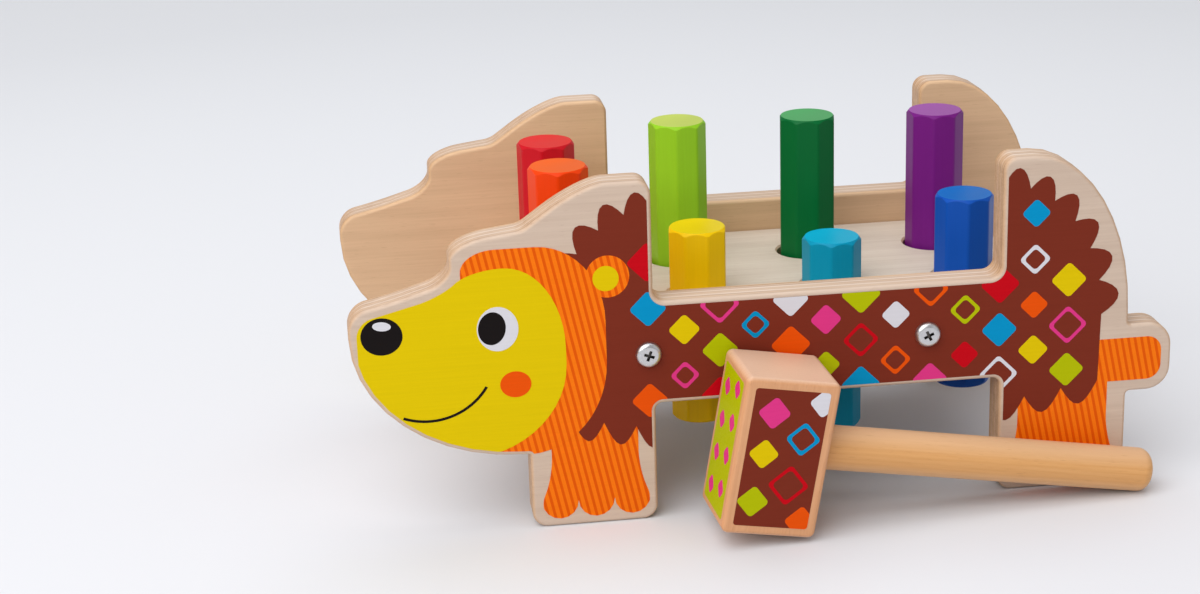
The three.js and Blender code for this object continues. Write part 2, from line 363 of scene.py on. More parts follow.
def set_surface(tree, shader, tone, pattern, roughness):
    """Give a shader its colour, and a roughness that a pattern moves between two values."""
    tree.links.new(tone, shader.inputs["Base Color"])
    tree.links.new(stretch(tree, pattern, 0, 1, *roughness), shader.inputs["Roughness"])


def roughen(tree, shader, height, strength):
    """Let a height pattern disturb the surface's direction."""
    inputs = {"Height": height, "Strength": strength, "Distance": grain_depth * mm}
    bump = wire(tree, "ShaderNodeBump", inputs)
    tree.links.new(bump.outputs[0], shader.inputs["Normal"])


print("node helpers ready")

# %% Sky and floor
sky_white = (0.97, 0.98, 1.0, 1)
sky_strength = 0.42
sky_seen = 0.78
floor_size = 12
floor_near = (0.72, 0.725, 0.755, 1)
floor_far = (0.74, 0.75, 0.78, 1)
floor_turns_pale = (0.0, 0.5)
floor_roughness = 0.9
backdrop_glow = (0.42, 0.425, 0.44, 1)
backdrop_reach = (0.8, 3.0)


def pale_sky():
    """An even sky that fills the shadows, and that the camera sees as a pale backdrop."""
    sky = bpy.data.worlds.new("studio sky")
    sky.use_nodes = True
    tree = sky.node_tree
    seen = wire(tree, "ShaderNodeLightPath").outputs["Is Camera Ray"]
    strength = stretch(tree, seen, 0, 1, sky_strength, sky_seen)
    background = tree.nodes["Background"]
    background.inputs["Color"].default_value = sky_white
    tree.links.new(strength, background.inputs["Strength"])
    return sky


def pale_floor():
    """A matt floor that stays pale where less light reaches it."""
    material, tree, shader = new_finish("pale floor", gloss=0.1)
    vector = own_axes(tree)
    depth = wire(tree, "ShaderNodeSeparateXYZ", {0: vector}).outputs["Y"]
    tone = blend_colours(tree, stretch(tree, depth, *floor_turns_pale), floor_near, floor_far)
    tree.links.new(tone, shader.inputs["Base Color"])
    shader.inputs["Roughness"].default_value = floor_roughness
    distance = wire(tree, "ShaderNodeVectorMath", {0: vector}, operation="LENGTH").outputs["Value"]
    seen = wire(tree, "ShaderNodeLightPath").outputs["Is Camera Ray"]
    glow = calculate(tree, "MULTIPLY", stretch(tree, distance, *backdrop_reach), seen)
    shader.inputs["Emission Color"].default_value = backdrop_glow
    tree.links.new(glow, shader.inputs["Emission Strength"])
    return material


deselect()
bpy.ops.mesh.primitive_plane_add(size=floor_size, location=(0, 0, 0))
floor = named("floor")
floor.data.materials.append(pale_floor())
bpy.context.scene.world = pale_sky()
print("floor:", floor_size, "m wide")

# %% Wood grain group
# Each layer has its scale along three axes, its detail, and the part of the noise that shows
grain_layers = {
    "Streak": ((35, 1500, 1500), 3.0, (0.3, 0.7)),
    "Fleck": ((220, 2600, 2600), 1.0, (0.66, 0.76)),
    "Cloud": ((22, 60, 60), 2.0, (0.3, 0.7)),
    "Figure": ((14, 260, 260), 4.0, (0.4, 0.65)),
}


def grain_group():
    """Noise in four layers, each drawn out along X."""
    group = bpy.data.node_groups.new("wood grain", "ShaderNodeTree")
    group.interface.new_socket("Vector", in_out="INPUT", socket_type="NodeSocketVector")
    for layer in grain_layers:
        group.interface.new_socket(layer, in_out="OUTPUT", socket_type="NodeSocketFloat")
    entry = wire(group, "NodeGroupInput")
    leave = wire(group, "NodeGroupOutput")
    for layer, (scale, detail, reach) in grain_layers.items():
        inputs = {0: entry.outputs["Vector"], 1: scale}
        scaled = wire(group, "ShaderNodeVectorMath", inputs, operation="MULTIPLY").outputs[0]
        inputs = {"Vector": scaled, "Scale": 1.0, "Detail": detail}
        noise = wire(group, "ShaderNodeTexNoise", inputs).outputs[0]
        group.links.new(stretch(group, noise, *reach), leave.inputs[layer])
    return group


wood_grain = grain_group()


def grain(tree, vector, *layers):
    """Place the grain group and return the layers that a finish asks for."""
    placed = wire(tree, "ShaderNodeGroup", {"Vector": vector}, node_tree=wood_grain)
    return [placed.outputs[layer] for layer in layers]


print("group:", wood_grain.name)

# %% [markdown]
# ## Birch plywood
# The panels are birch plywood with rounded-over edges. A ramp across the thickness holds the veneers, so
# the plies come out as contour lines wherever a rounded edge cuts through them. The outer veneer is the
# palest and the inner one is a warmer tan. An edge sawn across the grain is darker.

# %% Plywood finish
birch_grey = colour(209, 187, 168)
birch_tan = colour(220, 184, 146)
birch_board = colour(215, 201, 185)
ply_light = colour(224, 204, 186)
ply_dark = colour(210, 184, 160)
glue_brown = colour(134, 92, 62)
grain_brown = colour(132, 88, 56)
end_grain = colour(206, 160, 114)
ply_count = 7
glue_reach = 0.17
glue_least = 0.35
ply_wander = 0.02
streak_share = 0.1
edge_streak_share = 0.22
fleck_share = 0.2
figure_share = 0.1
end_share = 0.65
end_facing = (0.05, 0.8)
edge_facing = (0.75, 0.35)
wood_roughness = (0.45, 0.6)
wood_bump = 0.12


def veneer_ramp(tree, share, first, last):
    """The veneers from one face to the other."""
    tones = [first] + [(ply_dark, ply_light)[ply % 2] for ply in range(ply_count - 2)] + [last]
    ramp = wire(tree, "ShaderNodeValToRGB", {0: share})
    ramp.color_ramp.interpolation = "CONSTANT"
    stops = ramp.color_ramp.elements
    stops[0].color = tones[0]
    stops[1].position, stops[1].color = (ply_count - 1) / ply_count, tones[-1]
    for ply in range(1, ply_count - 1):
        stops.new(ply / ply_count).color = tones[ply]
    return ramp.outputs[0]


def glue_lines(tree, share, edge, figure):
    """Thin lines between the veneers, seen on edges, that come and go with the wood's figure."""
    from_line = calculate(tree, "PINGPONG", calculate(tree, "MULTIPLY", share, ply_count), 0.5)
    line = calculate(tree, "MULTIPLY", stretch(tree, from_line, 0, glue_reach, 1, 0), edge)
    return calculate(tree, "MULTIPLY", line, stretch(tree, figure, 0, 1, glue_least, 1))


def plywood(name, axis, low, thickness, first, last):
    """Plywood whose plies lie across one axis from `low`, with its two face veneers."""
    material, tree, shader = new_finish(name)
    vector = own_axes(tree)
    streak, fleck, cloud, figure = grain(tree, vector, *grain_layers)
    edge = faces(tree, axis, *edge_facing)
    across = wire(tree, "ShaderNodeSeparateXYZ", {0: vector}).outputs[axis]
    wander = calculate(tree, "MULTIPLY_ADD", cloud, ply_wander, -ply_wander / 2)
    share = calculate(tree, "ADD", stretch(tree, across, low, low + thickness), wander)
    sawn_across = faces(tree, "X", *end_facing)
    veneer = overlay(tree, veneer_ramp(tree, share, first, last), sawn_across, end_share, end_grain)
    glued = blend_colours(tree, glue_lines(tree, share, edge, figure), veneer, glue_brown)
    figured = overlay(tree, glued, figure, figure_share, grain_brown)
    streak_cover = stretch(tree, edge, 0, 1, streak_share, edge_streak_share)
    grained = overlay(tree, figured, streak, streak_cover, grain_brown)
    flecked = overlay(tree, grained, fleck, fleck_share, grain_brown)
    set_surface(tree, shader, flecked, streak, wood_roughness)
    roughen(tree, shader, streak, wood_bump)
    return material


front_low, front_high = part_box("front_panel")
rear_low, rear_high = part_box("rear_panel")
board_low, board_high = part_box("peg_board")
ply_thickness = front_high.y - front_low.y
front_birch = plywood("front panel birch", "Y", front_low.y, ply_thickness, birch_grey, birch_tan)
rear_birch = plywood("rear panel birch", "Y", rear_low.y, ply_thickness, birch_tan, birch_grey)
board_birch = plywood("board birch", "Z", board_low.z, board_high.z - board_low.z, birch_board, birch_board)
print("plies:", ply_count, "in", round(ply_thickness / mm, 1), "mm")

# %% [markdown]
# ## Sawing a panel
# A panel is sawn from a sheet along a drawn line, and a flat curve is the same thing in Blender. Each
# corner is drawn with the two lengths that its rounding takes up, and a Bezier handle makes the rounding
# a quarter ellipse. The curve's own bevel then rounds over both edges, as a router does.

# %% A flat piece cut from a drawn outline
handle_share = 0.5523


def draw_line(curve, points):
    """Add a closed line through points (place, left handle, right handle)."""
    line = curve.splines.new("BEZIER")
    line.bezier_points.add(len(points) - 1)
    for point, (place, left, right) in zip(line.bezier_points, points):
        point.co = place
        point.handle_left_type = "FREE" if left else "VECTOR"
        point.handle_right_type = "FREE" if right else "VECTOR"
        point.handle_left, point.handle_right = left or place, right or place
    line.use_cyclic_u = True


def draw_corners(curve, corners):
    """Add a closed line through corners (x, y, rounding before, rounding after), in millimetres."""
    at = [Vector((corner[0], corner[1], 0)) * mm for corner in corners]
    points = []
    for place, corner in enumerate(corners):
        here = at[place]
        before = corner[2] if len(corner) > 2 else 0
        after = corner[3] if len(corner) > 3 else before
        if before == 0:
            points.append((here, None, None))
            continue
        first = here + (at[place - 1] - here).normalized() * before * mm
        last = here + (at[(place + 1) % len(at)] - here).normalized() * after * mm
        points.append((first, None, first.lerp(here, handle_share)))
        points.append((last, last.lerp(here, handle_share), None))
    draw_line(curve, points)


def draw_oval(curve, x, y, across, up, lean=0):
    """Add a closed oval round (x, y), in millimetres, leaning by some degrees."""
    turn = Matrix.Rotation(math.radians(lean), 3, "Z")
    middle = Vector((x, y, 0)) * mm
    arms = [turn @ Vector(arm) * mm for arm in ((across, 0, 0), (0, up, 0), (-across, 0, 0), (0, -up, 0))]
    points = []
    for arm, following in zip(arms, arms[1:] + arms[:1]):
        ahead = following * handle_share
        points.append((middle + arm, middle + arm - ahead, middle + arm + ahead))
    draw_line(curve, points)


def new_drawing(name, resolution):
    """An empty flat drawing."""
    deselect()
    bpy.ops.curve.primitive_bezier_curve_add()
    drawing = named(name)
    drawing.data.splines.clear()
    drawing.data.dimensions = "2D"
    drawing.data.fill_mode = "BOTH"
    drawing.data.resolution_u = resolution
    return drawing


def drawing_of(name, resolution, *lines):
    """A flat drawing of closed lines, each given by its corners."""
    drawing = new_drawing(name, resolution)
    for corners in lines:
        draw_corners(drawing.data, corners)
    return drawing


def cut_out(drawing, thickness, edge_round=0, inset=0, edge_steps=5):
    """Cut a drawing out of a sheet of some thickness, standing across Y = 0."""
    drawing.data.extrude = thickness / 2 - edge_round
    drawing.data.bevel_depth = edge_round
    drawing.data.bevel_resolution = edge_steps
    drawing.data.offset = -edge_round - inset
    pick(drawing)
    bpy.ops.object.convert(target="MESH")
    return weld(settle(drawing, turn=across_y))


print("a quarter ellipse has handles of", handle_share)

# %% Panels
# Corners of the animal: X from the tip of the nose, height above the floor, then what the rounding takes up
panel_height = (front_high.z - front_low.z) / mm
panel_steps = 10
edge_round = 1.2
slot_front, slot_rear = 97.0, 211.8
slot_floor, arch_top = 74.8, 40.2
foot_front, foot_rear = 55.8, 255.5
panel_corners = [
    (foot_front, 0, 5),
    (slot_front, 0, 5),
    (slot_front, arch_top, 2.5),
    (slot_rear, arch_top, 2.5),
    (slot_rear, 0, 5),
    (foot_rear, 0, 5),
    (foot_rear, 32, 1.5),
    (270.5, 32, 8),
    (270.5, 55.5, 8),
    (255.3, 55.5, 1.5),
    (255.3, panel_height, 55, 33),
    (slot_rear, panel_height, 4.5),
    (slot_rear, slot_floor, 4),
    (slot_front, slot_floor, 4),
    (slot_front, panel_height, 4.5),
    (75.5, panel_height, 7, 15),
    (55.7, 101, 2),
    (32.7, 98, 12, 5),
    (32.7, 85.8, 5, 8),
    (13, 79.9, 6),
    (0, 77.1, 6),
    (0, 25.8, 43.3, 53.9),
    (foot_front, 25.8, 0.78),
]


def animal_drawing(name):
    return drawing_of(name, panel_steps, panel_corners)


screw_nodes = ("front_screw_1", "front_screw_2", "rear_screw_1", "rear_screw_2")
screw_hole_radius = 2.2


def middle_of(node):
    """The middle of a solid of the frame."""
    low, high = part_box(node)
    return (low + high) / 2


def sawn_panel(name, low, high, material):
    panel = cut_out(animal_drawing(name), high.y - low.y, edge_round * mm)
    settle(panel, (low.x, (low.y + high.y) / 2, 0))
    for node in screw_nodes[:2]:
        place = middle_of(node)
        place.y = (low.y + high.y) / 2
        drill(panel, screw_hole_radius * mm, 2 * ply_thickness, place, across_y)
    smooth(panel)
    return finish_piece(panel, material, "frame", "panel_plywood", name)


front_panel = sawn_panel("front_panel", front_low, front_high, front_birch)
sawn_panel("rear_panel", rear_low, rear_high, rear_birch)
print("panel faces:", len(front_panel.data.polygons))

# %% [markdown]
# ## The peg board
# The board is another piece of plywood, lying flat. Its holes are drilled with a turned cutter whose ends
# flare, so each hole gets the small chamfer that keeps a drilled edge from splintering. Half-way down,
# each hole has a groove for its rubber ring.

# %% Turned bars
def turned_bar(name, radius, straight, end_radius, end_length, sides):
    """A bar round Z with a cone on each end: narrower for a turned peg, wider for a flared drill."""
    bar = add_cylinder(name, sides, radius, straight)
    for side in (-1, 1):
        select_where(bar, "FACE", lambda face: face.normal.z * side > flat_share)
        bpy.ops.mesh.extrude_region_move(TRANSFORM_OT_translate={"value": (0, 0, side * end_length)})
        share = end_radius / radius
        end = (0, 0, side * (straight / 2 + end_length))
        bpy.ops.transform.resize(value=(share, share, 1), center_override=end)
        set_mode("OBJECT")
    return bar


colours = ("red", "light_green", "dark_green", "purple", "orange", "yellow", "sky_blue", "blue")
peg_sides = 8
peg_flats = 18.8
peg_corner = peg_flats / 2 / math.cos(math.pi / peg_sides)
print("holes:", len(colours))

# %% Board
hole_gap = 0.6
hole_radius = peg_corner + hole_gap
groove_depth = 2
mouth_chamfer = 0.6
mouth_overcut = 1
groove_height = 4.6
screw_hole_depth = 20.3
board_ease = 1.0


def drilled_board():
    board = settle(add_block("peg_board", board_high - board_low), middle_of("peg_board"))
    round_edges(board, lambda edge: True, board_ease, steps=3)
    depth = board_high.z - board_low.z
    flare = mouth_chamfer + mouth_overcut
    wide = (hole_radius + flare) * mm
    straight = depth - 2 * mouth_chamfer * mm
    for name in colours:
        place = middle_of(name + "_grip_ring")
        flared = turned_bar("flared", hole_radius * mm, straight, wide, flare * mm, round_sides)
        combine(board, settle(flared, place), "DIFFERENCE")
        drill(board, (hole_radius + groove_depth) * mm, groove_height * mm, place)
    for node in screw_nodes:
        place = middle_of(node)
        place.y = board_low.y if node.startswith("front") else board_high.y
        drill(board, screw_hole_radius * mm, 2 * screw_hole_depth * mm, place, across_y)
    return board


board = smooth(drilled_board())
finish_piece(board, board_birch, "frame", "board_plywood", "peg_board")
print("board faces:", len(board.data.polygons))

# %% [markdown]
# ## Pegs
# A peg is an eight-sided bar that was put in a lathe: its ends are turned to a shallow cone, which leaves
# an arched edge at the top of every flat. Trimming an eight-sided prism by a turned bar makes just that.
# It is modelled once, then copied into each hole.

# %% Model one peg
peg_length = 67
peg_end_inset = 0.3
peg_end_radius = peg_flats / 2 - peg_end_inset
peg_end_slope = 52
peg_edge_round = 0.7
peg_rim_round = 0.35
peg_sharp = math.radians(22)
lathe_gap = 0.6
lathe_radius = peg_corner + lathe_gap
lathe_sides = 96
peg_turns = (9, 12, 34, 6, 16, 34, 10, 16)


def turned_peg():
    peg = add_cylinder("peg", peg_sides, peg_corner * mm, peg_length * mm)
    settle(peg, turn=(0, 0, math.pi / peg_sides))
    round_edges(peg, along(peg, 2), peg_edge_round, steps=3)
    cone = (lathe_radius - peg_end_radius) * math.tan(math.radians(peg_end_slope))
    straight = peg_length - 2 * cone
    lathe = turned_bar("lathe", lathe_radius * mm, straight * mm, peg_end_radius * mm, cone * mm, lathe_sides)
    combine(peg, lathe, "INTERSECT")
    rim = dict(width=peg_rim_round * mm, segments=2)
    return apply_modifier(peg, "BEVEL", limit_method="ANGLE", angle_limit=peg_sharp, **rim)


peg_pattern = turned_peg()
print("peg faces:", len(peg_pattern.data.polygons))

# %% Painted finish
peg_paints = (
    (200, 18, 32), (148, 205, 38), (0, 102, 48), (116, 26, 124),
    (242, 66, 6), (248, 204, 0), (0, 146, 182), (14, 80, 178),
)
# The tones of both turned ends: the paint lightened by painted light from above and a painted sheen
painted_lit_peg_ends = (
    (214, 31, 29), (184, 199, 88), (72, 155, 90), (148, 77, 155),
    (230, 93, 2), (225, 199, 0), (0, 163, 197), (0, 102, 182),
)
cloud_share, cloud_tints = 0.6, (0.9, 1.08)
faint_streaks, streak_tint = 0.25, 0.8
# How the painted highlight on the ends varies, and how far a face must point up or down to take it
painted_lit_end_tint, painted_lit_end_facing = 0.9, (0.9, 0.98)
paint_roughness = (0.32, 0.45)


def satin_paint(name, paint, end, place):
    """Paint on wood: the grain shows as faint streaks along the peg, and both ends are painted paler, as
    painted light from above and painted sheen.
    """
    material, tree, shader = new_finish(name, gloss=0.12)
    streak, cloud = grain(tree, own_axes(tree, place, along_x), "Streak", "Cloud")
    dark, pale = (tint(paint, factor) for factor in cloud_tints)
    shaded = overlay(tree, dark, cloud, cloud_share, pale)
    grained = overlay(tree, shaded, streak, faint_streaks, tint(paint, streak_tint))
    # Both ends take the paler tone, the bottom as well as the top: painted highlight and painted sheen
    painted_lit_end = blend_colours(tree, cloud, tint(end, painted_lit_end_tint), end)
    finished = blend_colours(tree, faces(tree, "Z", *painted_lit_end_facing), grained, painted_lit_end)
    set_surface(tree, shader, finished, cloud, paint_roughness)
    roughen(tree, shader, streak, wood_bump)
    return material


for name, turn, side, end in zip(colours, peg_turns, peg_paints, painted_lit_peg_ends):
    node = name + "_peg"
    place = middle_of(node)
    peg = settle(copy_of(peg_pattern, node), place, (0, 0, math.radians(turn)))
    smooth(peg, degrees=30)
    paint = satin_paint(name.replace("_", " ") + " paint", colour(*side), colour(*end), place)
    finish_piece(peg, paint, node, name + "_paint", node)
bpy.data.objects.remove(peg_pattern)
print("pegs:", len(colours))

# %% Rubber rings
rubber_scale = 900.0
rubber_tones = colour(22, 22, 22), colour(44, 44, 44)
rubber_roughness = (0.7, 0.9)


def dull_rubber():
    material, tree, shader = new_finish("grip rubber")
    inputs = {"Vector": own_axes(tree), "Scale": rubber_scale}
    speckle = wire(tree, "ShaderNodeTexNoise", inputs).outputs[0]
    set_surface(tree, shader, blend_colours(tree, speckle, *rubber_tones), speckle, rubber_roughness)
    return material


rubber = dull_rubber()
for name in colours:
    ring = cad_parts[name + "_grip_ring"]
    ring.data.materials.clear()
    ring.data.materials.append(rubber)
print("rings:", len(colours))

# %% [markdown]
# ## Screws
# Two bright pan-head screws hold each panel to the board. The head is a short cylinder with a rounded
# crown, and a cross is cut into it. One screw is modelled pointing along +Z, then copied.

# %% Model one screw
screw_head_radius = 4.2
screw_head_height = 2.4
screw_shank_radius = 1.9
screw_length = 32
screw_crown = 1.6
screw_point = 5
point_share = 0.12
cross_size = Vector((4.4, 1.2, 2.6))
cross_taper = 0.6
screw_sides = 48
screw_turns = (20, 65, 40, 5)


def pan_screw():
    top = -screw_head_height * mm
    screw = add_cylinder("screw", screw_sides, screw_head_radius * mm, -top)
    settle(screw, (0, 0, top / 2))
    round_edges(screw, past(screw, Vector((0, 0, -1)), -top / 2), screw_crown, steps=6)
    select_where(screw, "FACE", lambda face: face.normal.z > flat_share)
    bpy.ops.mesh.inset(thickness=(screw_head_radius - screw_shank_radius) * mm)
    for length in (screw_length - screw_point, screw_point):
        bpy.ops.mesh.extrude_region_move(TRANSFORM_OT_translate={"value": (0, 0, length * mm)})
    bpy.ops.transform.resize(value=(point_share, point_share, 1), center_override=(0, 0, screw_length * mm))
    set_mode("OBJECT")
    for arm in (0, 90):
        cross = settle(add_block("cross", cross_size * mm), (0, 0, top), (0, 0, math.radians(arm)))
        select_where(cross, "FACE", lambda face: face.normal.z > flat_share)
        bpy.ops.transform.resize(value=(cross_taper, cross_taper, 1), center_override=(0, 0, top))
        set_mode("OBJECT")
        combine(screw, cross, "DIFFERENCE")
    return screw


screw_pattern = pan_screw()
print("screw faces:", len(screw_pattern.data.polygons))

# %% Place the screws
wear_scale, wear_detail, wear_reach = 420.0, 2.0, (0.3, 0.7)
zinc_roughness = (0.3, 0.4)
cross_lip = 0.05


def zinc_plate(name, dark, pale):
    material, tree, shader = new_finish(name, metallic=1.0)
    inputs = {"Vector": own_axes(tree), "Scale": wear_scale, "Detail": wear_detail}
    wear = wire(tree, "ShaderNodeTexNoise", inputs).outputs[0]
    worn = stretch(tree, wear, *wear_reach)
    set_surface(tree, shader, blend_colours(tree, wear, dark, pale), worn, zinc_roughness)
    return material


def in_cross(face):
    """Whether a face of the screw, while it points along +Z, belongs to its cross."""
    depth = screw_head_height * mm + face.center.z
    wide = math.hypot(face.center.x, face.center.y) < cross_size.x / 2 * mm
    return wide and cross_lip * mm < depth < cross_size.z * mm


zinc = zinc_plate("zinc plate", colour(196, 196, 198), colour(220, 220, 221))
# A dark zinc for the cross: painted shade in the recess
painted_shade = zinc_plate("grime in the cross", colour(70, 66, 62), colour(110, 106, 102))
cross_faces = [face.index for face in screw_pattern.data.polygons if in_cross(face)]
for node, cross_turn in zip(screw_nodes, screw_turns):
    screw = copy_of(screw_pattern, node)
    settle(screw, turn=(0, 0, math.radians(cross_turn)))
    front = node.startswith("front")
    place = middle_of(node)
    place.y = front_low.y if front else rear_high.y
    inwards = -math.pi / 2 if front else math.pi / 2
    settle(screw, place, (inwards, 0, 0))
    smooth(screw, degrees=35)
    finish_piece(screw, zinc, "frame", "screw_steel", node)
    # The faces of the cross take the painted shade
    screw.data.materials.append(painted_shade)
    for face in cross_faces:
        screw.data.polygons[face].material_index = 1
bpy.data.objects.remove(screw_pattern)
print("screws:", len(screw_nodes), "with", len(cross_faces), "faces in each cross")

# %% [markdown]
# ## Mallet
# The mallet's head is a block of beech with rounded edges and a socket for the handle. It lies tilted,
# with the lower edge of the head and the far end of the handle on the floor. Both pieces are modelled
# along their own axes, then turned into that place together with their grain.

# %% Where the mallet lies
head_size = Vector((31, 29, 52.6))
head_corner = 2.2
head_edge = 1.5
handle_radius = 7.3
handle_reach = 132
handle_end_round = 4
socket_depth = 22
socket_gap = 0.3
mallet_yaw = math.radians(3.5)
drop = head_size.z / 2 - head_corner - (handle_radius - handle_end_round)
run = handle_reach - handle_end_round - (head_size.x / 2 - head_corner)
mallet_turn = Euler((0, math.atan2(drop, run), mallet_yaw))
mallet_place = middle_of("mallet_head")
print("mallet tilt:", round(math.degrees(mallet_turn.y), 2), "degrees")

# %% Model the mallet
def mallet_head():
    head = add_block("mallet_head", head_size * mm)
    round_edges(head, along(head, 1), head_corner, steps=6)
    select_where(head, "FACE", lambda face: abs(face.normal.y) > flat_share)
    bpy.ops.mesh.region_to_loop()
    bpy.ops.mesh.bevel(offset=head_edge * mm, segments=5, affect="EDGES")
    set_mode("OBJECT")
    mouth = (head_size.x / 2 * mm, 0, 0)
    return drill(head, (handle_radius + socket_gap) * mm, 2 * socket_depth * mm, mouth, along_x)


def mallet_handle():
    root = head_size.x / 2 - socket_depth + socket_gap
    length = handle_reach - root
    handle = add_cylinder("mallet_handle", round_sides, handle_radius * mm, length * mm)
    settle(handle, ((root + length / 2) * mm, 0, 0), along_x)
    far = (handle_reach - handle_end_round) * mm
    round_edges(handle, past(handle, Vector((1, 0, 0)), far), handle_end_round, steps=8)
    return handle


def lay_down(piece):
    """Turn and move a piece of the mallet to where the mallet lies."""
    return settle(piece, mallet_place, mallet_turn)


head = lay_down(mallet_head())
handle = lay_down(mallet_handle())
print("mallet faces:", len(head.data.polygons), len(handle.data.polygons))

# %% Mallet finishes
growth_lines = {"Scale": 170.0, "Distortion": 2.0, "Detail": 2.0, "Detail Scale": 1.5}
line_share, line_streaks = 0.25, 0.45
# How much painted sheen and light from above covers the faces that point up, and how far up they must point
painted_sheen_share, painted_sheen_facing = 0.65, (0.3, 1.0)
pore_share, pore_tint = 0.35, 0.72
lacquer_roughness = (0.36, 0.5)


def hardwood(name, pale, dark, painted_sheen_tone, lines_along, grain_turn):
    """Lacquered hardwood with growth lines, streaks and flecks, and a paler tone painted on faces that point
    up as painted sheen.
    """
    material, tree, shader = new_finish(name)
    vector = own_axes(tree, mallet_place, mallet_turn)
    turned = wire(tree, "ShaderNodeMapping", {"Vector": vector, "Rotation": grain_turn}).outputs[0]
    streak, fleck, cloud = grain(tree, turned, "Streak", "Fleck", "Cloud")
    inputs = {"Vector": vector, **growth_lines}
    lines = wire(tree, "ShaderNodeTexWave", inputs, bands_direction=lines_along).outputs["Fac"]
    streaks = calculate(tree, "MULTIPLY", streak, line_streaks)
    tone = blend_colours(tree, calculate(tree, "MULTIPLY_ADD", lines, line_share, streaks), pale, dark)
    # Faces that point up get a paler tone: painted sheen and painted light from above
    painted_top_sheen = overlay(tree, tone, faces(tree, "Z", *painted_sheen_facing), painted_sheen_share, painted_sheen_tone)
    flecked = overlay(tree, painted_top_sheen, fleck, pore_share, tint(dark, pore_tint))
    set_surface(tree, shader, flecked, cloud, lacquer_roughness)
    roughen(tree, shader, streak, wood_bump)
    return material


# Each wood: pale, dark, and the paler tone painted on its upper faces as painted sheen
block_tones = colour(220, 164, 120), colour(204, 142, 96), colour(218, 188, 166)
dowel_tones = colour(222, 166, 106), colour(208, 148, 84), colour(222, 186, 152)
beech = hardwood("beech", *block_tones, "Y", along_x)
dowel_wood = hardwood("dowel wood", *dowel_tones, "Z", (0, 0, 0))
finish_piece(smooth(head), beech, "mallet", "mallet_head_wood", "mallet_head")
finish_piece(smooth(handle), dowel_wood, "mallet", "mallet_handle_wood", "mallet_handle")
print("mallet finishes:", beech.name, "and", dowel_wood.name)

# %% [markdown]
# ## Printing
# The picture is screen-printed on the outer faces in flat colours, one over another. Each colour is a
# thin closed plate that lies half in the wood. A later colour has a slightly thicker plate, so it covers
# the earlier ones. The prints are trimmed by the panel's own outline, drawn a little smaller.

# %% Ink finishes
ink_colours = {
    "brown": (121, 46, 30), "orange": (248, 120, 14), "yellow": (222, 193, 0), "black": (24, 19, 19),
    "white": (216, 214, 220), "lime": (178, 186, 0), "pink": (222, 56, 132), "blue": (0, 144, 196),
    "red": (196, 4, 22), "tangerine": (232, 82, 4),
}
ink_streaks, ink_tint = 0.3, 0.86
ink_roughness = (0.42, 0.58)
ink_bump = 0.08
stripe_pitch = 2.2
stripe_lean = math.radians(12)
stripe_edge = (0.0, 0.5)
stripe_orange = colour(222, 86, 2)


def pin_stripes(tree, vector, base):
    """Darker stripes that lean a little from upright."""
    inputs = {"Vector": vector, "Rotation": (0, stripe_lean, 0)}
    leaning = wire(tree, "ShaderNodeMapping", inputs).outputs[0]
    across = wire(tree, "ShaderNodeSeparateXYZ", {0: leaning}).outputs["X"]
    phase = calculate(tree, "MULTIPLY", across, 2 * math.pi / (stripe_pitch * mm))
    mask = stretch(tree, calculate(tree, "SINE", phase), *stripe_edge)
    return blend_colours(tree, mask, base, stripe_orange)


def ink(name, base):
    """Flat ink that lets the veneer's grain show very faintly."""
    material, tree, shader = new_finish(name + " ink", gloss=0.06)
    vector = own_axes(tree)
    streak = grain(tree, vector, "Streak")[0]
    tone = overlay(tree, base, streak, ink_streaks, tint(base, ink_tint))
    if name == "orange":
        tone = pin_stripes(tree, vector, tone)
    set_surface(tree, shader, tone, streak, ink_roughness)
    roughen(tree, shader, streak, ink_bump)
    return material


inks = {name: ink(name, colour(*base)) for name, base in ink_colours.items()}
ink_slots = {name: "print_" + name for name in ink_colours}
ink_slots["tangerine"] = ink_slots["orange"]
print("inks:", list(inks))

# %% Print on both panels
layer_step = 0.04
print_margin = 1.4
print_steps, small_steps = 12, 6
trim_depth = 4


def ink_thickness(layer):
    """The thickness of a print, half of which lies in the wood."""
    return 2 * layer * layer_step * mm


def printed(drawing, layer, trim=True):
    """A thin plate from a drawing, trimmed to the panel's printed area. X is still from the nose."""
    plate = cut_out(drawing, ink_thickness(layer))
    if trim:
        area = cut_out(animal_drawing("area"), trim_depth * mm, inset=print_margin * mm)
        combine(plate, area, "INTERSECT")
    return plate


def print_both(plate, ink_name):
    """Lay a print on the front panel, and its copy on the rear one."""
    name = plate.name
    twin = copy_of(plate, "rear_" + name)
    plate.name = "front_" + name
    settle(plate, (front_low.x, front_low.y, 0))
    settle(twin, (front_low.x, rear_high.y, 0))
    for piece in (plate, twin):
        finish_piece(piece, inks[ink_name], "frame", ink_slots[ink_name])


def shape_print(name, ink_name, layer, corners):
    """Print one drawn shape."""
    print_both(printed(drawing_of(name, print_steps, corners), layer), ink_name)


def oval_print(name, ink_name, layer, *oval):
    """Print one oval: x, z, across, up and lean."""
    drawing = new_drawing(name, print_steps)
    draw_oval(drawing.data, *oval)
    print_both(printed(drawing, layer, trim=False), ink_name)


print("print layers of", layer_step, "mm")

# %% [markdown]
# ### Legs, coat and head
# The legs and the tail are striped orange, with round toes. The coat is brown, and its edge swells into
# even lobes along two ovals. The head is a striped mane with a yellow face on top.

# %% Legs and tail
leg_top = 44
ankle_height = 18
ankle_inset = 3.6
toe_height = 8.6
toe_radius = 6.0
toe_count = 3
toe_steps = 8
ankle_round, heel_round = 6, 2
legs = {"foreleg_print": (59, 94.6), "hindleg_print": (214.6, 252.4)}
tail_low, tail_high, tail_root, tail_tip = 36, 51, 238, 267
tail_round = 5


